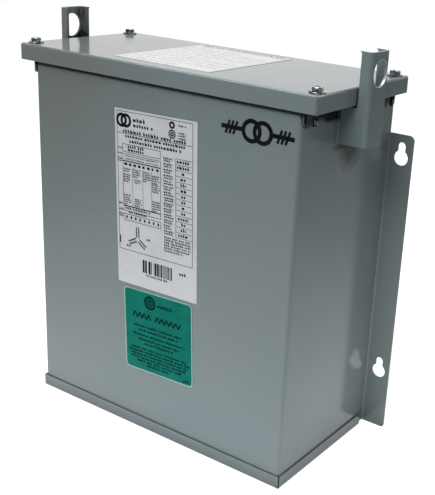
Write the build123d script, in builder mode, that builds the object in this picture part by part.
from build123d import *
import os

# Wall mounted encapsulated transformer in a sheet steel box, lengths in millimetres.
# X runs across the front, Y from the front to the wall, Z upwards.
# The origin is on the floor, under the middle of the whole object.

# Sheet thicknesses and inside bend radii
wall_t = 2.0
wall_bend = 2.0
lid_t = 2.0
lid_bend = 0.7
pan_t = 2.0
pan_bend = 2.0
bracket_t = 3.0
bracket_bend = 2.5

# Box, measured over the outside of its walls
box_w = 400.0
box_d = 190.0
standoff = 14.3

# Lid, an inverted tray that stands out past the walls
lid_top_z = 478.0
lid_skirt_h = 20.0
lid_over_side = 20.8
lid_over_front = 6.6
lid_over_rear = 6.5
lid_corner_r = 0.7
skirt_clearance = 3.0

# Base pan, a tray that the walls stand in
pan_h = 17.3
pan_seam = 1.2

# Mounting ears, bent outwards from the side walls, with a keyhole at each end
ear_w = 33.3
ear_drop = 52.7
ear_top_r = 6.5
ear_foot_r = 4.0
key_edge = 15.4
key_low_z = 84.6
key_drop = 29.2
key_head_r = 9.5
key_slot_r = 5.1
key_rise = 14.5

# Screw tabs, angles welded to the side walls at the corners, under the lid
tab_t = 3.0
tab_bend = 1.5
tab_h = 33.0
tab_l = 24.0
tab_corner_r = 3.0
tab_clearance = 0.3

# Lid screws, with their washers and the nuts welded under the tabs
screw_inset_side = 10.6
screw_inset_end = 16.7
thread_r = 3.175
thread_chamfer = 0.8
screw_length = 38.1
head_flats = 11.1
head_h = 4.6
head_chamfer = 0.5
washer_r = 9.3
washer_t = 1.6
nut_flats = 11.1
nut_h = 5.6
hole_clearance = 0.6
nut_clearance = 0.15

# Lifting brackets, channels with a round eye
bracket_reach = 36.5
bracket_w = 39.0
bracket_setback = 74.5
bracket_drop = 46.7
bracket_rise = 38.2
bracket_gap = 1.5
bracket_notch_r = 3.0
eye_r = 15.0
eye_drop = 23.4

# Labels: size, middle across the front or the lid, middle up or back, and turn in degrees
label_t = 0.4
data_label_w = 127.3
data_label_h = 220.7
data_label_x = 1.6
data_label_z = 311.8
data_label_turn = 1.5
data_label_r = 1.5
green_label_w = 111.7
green_label_h = 111.6
green_label_x = 7.7
green_label_z = 141.8
green_label_turn = 2.3
green_label_r = 6.0
lid_label_w = 146.5
lid_label_h = 166.1
lid_label_x = -7.0
lid_label_setback = 103.3
lid_label_turn = -0.5
lid_label_r = 1.5

# Potting compound round the core and the coils
fill_drop = 76.0
fill_corner_r = 3.0

# Places worked out from the sizes above
half_w = box_w / 2
mount_y = (lid_over_front + box_d + standoff) / 2
back_y = mount_y - standoff
front_y = back_y - box_d
wall_foot_z = pan_t + pan_bend
lid_under_z = lid_top_z - lid_t
lid_foot_z = lid_top_z - lid_skirt_h
lid_w = box_w + 2 * lid_over_side
lid_d = lid_over_front + box_d + lid_over_rear
lid_mid_y = front_y - lid_over_front + lid_d / 2
notch_floor_z = lid_foot_z - skirt_clearance
ear_top_z = lid_foot_z - ear_drop
key_pitch_z = ear_top_z - key_drop - key_low_z
fill_top_z = lid_under_z - fill_drop
tab_w = lid_over_side - lid_t - lid_bend - tab_clearance
wall_bend_out = wall_bend + wall_t
key_x = half_w + ear_w - key_edge
screw_x = lid_w / 2 - screw_inset_side
screw_y = lid_d / 2 - screw_inset_end
screw_places = {
    "front_left": (-screw_x, lid_mid_y - screw_y),
    "front_right": (screw_x, lid_mid_y - screw_y),
    "rear_left": (-screw_x, lid_mid_y + screw_y),
    "rear_right": (screw_x, lid_mid_y + screw_y),
}
pieces = {}


def bent_sheet(corners, radii, thickness):
    """Cross-section of a sheet bent along a line of corners, laid to the left of that line."""
    with BuildSketch() as section:
        with BuildLine():
            FilletPolyline(*corners, radius=radii)
            offset(amount=thickness, side=Side.LEFT, closed=True)
        make_face()
    return section.sketch


# Housing wrap: front wall, side walls and mounting ears, one bent sheet.
ear_line = [
    (-half_w - ear_w, mount_y - wall_t),
    (-half_w, mount_y - wall_t),
    (-half_w, front_y),
    (half_w, front_y),
    (half_w, mount_y - wall_t),
    (half_w + ear_w, mount_y - wall_t),
]
plain_line = [(-half_w, mount_y), (-half_w, front_y), (half_w, front_y), (half_w, mount_y)]
ear_section = bent_sheet(ear_line, [wall_bend, wall_bend_out, wall_bend_out, wall_bend], wall_t)
plain_section = bent_sheet(plain_line, [wall_bend_out, wall_bend_out], wall_t)

with BuildPart() as housing_wrap:
    with BuildSketch(Plane.XY.offset(wall_foot_z)):
        add(ear_section)
    extrude(amount=ear_top_z - wall_foot_z)
    ear_tips = housing_wrap.faces().sort_by(Axis.X)
    tip_corners = (ear_tips[0].edges() + ear_tips[-1].edges()).filter_by(Axis.Y).group_by(Axis.Z)
    fillet(tip_corners[0], ear_foot_r)
    fillet(tip_corners[-1], ear_top_r)
    with BuildSketch(Plane.XY.offset(ear_top_z)):
        add(plain_section)
    extrude(amount=lid_under_z - ear_top_z)
    # Behind the back panel the side walls stop under the lid's rear skirt.
    with BuildSketch(Plane.XY.offset(lid_under_z)):
        with Locations((0, back_y + standoff / 2)):
            Rectangle(box_w, standoff)
    extrude(amount=notch_floor_z - lid_under_z, mode=Mode.SUBTRACT)
    with BuildSketch(Plane.XZ.offset(-mount_y)):
        with Locations((0, key_low_z + key_pitch_z / 2)):
            with GridLocations(2 * key_x, key_pitch_z, 2, 2):
                Circle(key_head_r)
                with Locations((0, key_rise / 2)):
                    Rectangle(2 * key_slot_r, key_rise)
                with Locations((0, key_rise)):
                    Circle(key_slot_r)
    extrude(amount=wall_t, mode=Mode.SUBTRACT)
pieces["housing_wrap"] = housing_wrap.part

# Back panel: flat, set in between the side walls.
with BuildPart() as back_panel:
    with BuildSketch(Plane.XY.offset(wall_foot_z)):
        with Locations((0, back_y - wall_t / 2)):
            Rectangle(box_w - 2 * wall_t, wall_t)
    extrude(amount=lid_under_z - wall_foot_z)
pieces["back_panel"] = back_panel.part

# Base pan: a folded tray with open corner seams.
pan_mid_y = (front_y + back_y) / 2
with BuildPart() as base_pan:
    with BuildSketch():
        with Locations((0, pan_mid_y)):
            Rectangle(box_w + 2 * pan_t, box_d + 2 * pan_t)
    extrude(amount=pan_h)
    fillet(base_pan.faces().sort_by(Axis.Z)[0].edges(), pan_bend + pan_t)
    offset(amount=-pan_t, openings=base_pan.faces().sort_by(Axis.Z)[-1])
    with BuildSketch(Plane.XY.offset(pan_t)):
        with Locations((half_w, front_y)):
            Rectangle(4 * pan_t, pan_seam, rotation=-45)
        with Locations((-half_w, front_y)):
            Rectangle(4 * pan_t, pan_seam, rotation=45)
        # The rear skirt stands between the side walls.
        with Locations((0, back_y)):
            with GridLocations(box_w - wall_t - pan_seam, 0, 2, 1):
                Rectangle(wall_t + pan_seam, 2 * pan_t)
    extrude(amount=pan_h, mode=Mode.SUBTRACT)
pieces["base_pan"] = base_pan.part

# Lid: an inverted tray with closed corners.
with BuildPart() as lid:
    with BuildSketch(Plane.XY.offset(lid_foot_z)):
        with Locations((0, lid_mid_y)):
            Rectangle(lid_w, lid_d)
    extrude(amount=lid_skirt_h)
    fillet(lid.edges().filter_by(Axis.Z), lid_corner_r + lid_t)
    fillet(lid.faces().sort_by(Axis.Z)[-1].edges(), lid_bend + lid_t)
    offset(amount=-lid_t, openings=lid.faces().sort_by(Axis.Z)[0])
    with BuildSketch(Plane.XY.offset(lid_top_z)):
        with Locations(*screw_places.values()):
            Circle(thread_r + hole_clearance)
    extrude(amount=-lid_t, mode=Mode.SUBTRACT)
pieces["lid"] = lid.part

# Lifting brackets: channels welded to the side walls, cut away beside the lid.
bracket_front_y = front_y + bracket_setback
bracket_back_y = bracket_front_y + bracket_w
bracket_low_z = lid_foot_z - bracket_drop
bracket_top_z = lid_top_z + bracket_rise
bracket_x = half_w + bracket_reach
bracket_line = [
    (half_w, bracket_front_y),
    (bracket_x, bracket_front_y),
    (bracket_x, bracket_back_y),
    (half_w, bracket_back_y),
]
bracket_section = bent_sheet(bracket_line, [bracket_bend + bracket_t] * 2, bracket_t)
with BuildPart() as lifting_bracket_right:
    with BuildSketch(Plane.XY.offset(bracket_low_z)):
        add(bracket_section)
    extrude(amount=bracket_top_z - bracket_low_z)
    with BuildSketch(Plane.XZ.offset(-bracket_back_y)) as notch:
        with Locations((half_w, notch_floor_z)):
            Rectangle(lid_over_side + bracket_gap, bracket_top_z - notch_floor_z, align=Align.MIN)
        fillet(notch.vertices().group_by(Axis.Z)[0].sort_by(Axis.X)[-1], bracket_notch_r)
    extrude(amount=bracket_w, mode=Mode.SUBTRACT)
    with BuildSketch(Plane.YZ.offset(bracket_x)):
        with Locations((bracket_front_y + bracket_w / 2, bracket_top_z - eye_drop)):
            Circle(eye_r)
    extrude(amount=-bracket_t, mode=Mode.SUBTRACT)
pieces["lifting_bracket_right"] = lifting_bracket_right.part
with BuildPart() as lifting_bracket_left:
    mirror(lifting_bracket_right.part, about=Plane.YZ)
pieces["lifting_bracket_left"] = lifting_bracket_left.part

# Screw tabs, lid screws, washers and weld nuts, one of each at every corner.
tab_line = [
    (half_w + tab_w, lid_under_z),
    (half_w, lid_under_z),
    (half_w, lid_under_z - tab_h),
]
tab_section = bent_sheet(tab_line, [tab_bend + tab_t], tab_t)
tab_back_y = {"front": front_y + tab_l, "rear": back_y}
for place, (x, y) in screw_places.items():
    end, side = place.split("_")
    with BuildPart() as tab:
        with BuildSketch(Plane.XZ.offset(-tab_back_y[end])):
            if side == "right":
                add(tab_section)
            else:
                mirror(tab_section, about=Plane.YZ)
        extrude(amount=tab_l)
        fillet(tab.edges().filter_by(Axis.X).group_by(Axis.Z)[0], tab_corner_r)
        fillet(tab.edges().filter_by(Axis.Z).group_by(Axis.Z)[-1], tab_corner_r)
        with BuildSketch(Plane.XY.offset(lid_under_z)):
            with Locations((x, y)):
                Circle(thread_r + hole_clearance)
        extrude(amount=-tab_t, mode=Mode.SUBTRACT)
    pieces[f"screw_tab_{place}"] = tab.part

    with BuildPart() as washer:
        with BuildSketch(Plane.XY.offset(lid_top_z)):
            with Locations((x, y)):
                Circle(washer_r)
                Circle(thread_r + hole_clearance, mode=Mode.SUBTRACT)
        extrude(amount=washer_t)
    pieces[f"lid_washer_{place}"] = washer.part

    with BuildPart() as screw:
        with BuildSketch(Plane.XY.offset(lid_top_z + washer_t)):
            with Locations((x, y)):
                RegularPolygon(head_flats / 2, 6, major_radius=False)
        extrude(amount=head_h)
        chamfer(screw.faces().sort_by(Axis.Z)[-1].edges(), head_chamfer)
        with BuildSketch(Plane.XY.offset(lid_top_z + washer_t)):
            with Locations((x, y)):
                Circle(thread_r)
        extrude(amount=-screw_length)
        chamfer(screw.faces().sort_by(Axis.Z)[0].edges(), thread_chamfer)
    pieces[f"lid_screw_{place}"] = screw.part

    with BuildPart() as nut:
        with BuildSketch(Plane.XY.offset(lid_under_z - tab_t)):
            with Locations((x, y)):
                RegularPolygon(nut_flats / 2, 6, major_radius=False, rotation=30)
                Circle(thread_r + nut_clearance, mode=Mode.SUBTRACT)
        extrude(amount=-nut_h)
    pieces[f"weld_nut_{place}"] = nut.part


def label_plate(face, width, height, centre, turn, corner_r):
    """A thin label on a face, turned a little about its centre."""
    with BuildPart() as label:
        with BuildSketch(face):
            with Locations(centre):
                RectangleRounded(width, height, corner_r, rotation=turn)
        extrude(amount=label_t)
    return label.part


front_face = Plane.XZ.offset(-front_y)
lid_face = Plane.XY.offset(lid_top_z)
lid_label_y = lid_mid_y - lid_d / 2 + lid_label_setback
pieces["data_label"] = label_plate(
    front_face, data_label_w, data_label_h, (data_label_x, data_label_z), data_label_turn, data_label_r
)
pieces["green_label"] = label_plate(
    front_face, green_label_w, green_label_h, (green_label_x, green_label_z), green_label_turn, green_label_r
)
pieces["lid_label"] = label_plate(
    lid_face, lid_label_w, lid_label_h, (lid_label_x, lid_label_y), lid_label_turn, lid_label_r
)

# Potted block: the core and the coils in their compound fill the box below the terminals.
with BuildPart() as potted_block:
    with BuildSketch(Plane.XY.offset(pan_t)):
        with Locations((0, pan_mid_y)):
            RectangleRounded(box_w - 2 * wall_t, box_d - 2 * wall_t, fill_corner_r)
    extrude(amount=fill_top_z - pan_t)
pieces["potted_block"] = potted_block.part

os.makedirs("parts", exist_ok=True)
for name, piece in pieces.items():
    piece.label = name
    export_step(piece, f"parts/{name}.step")
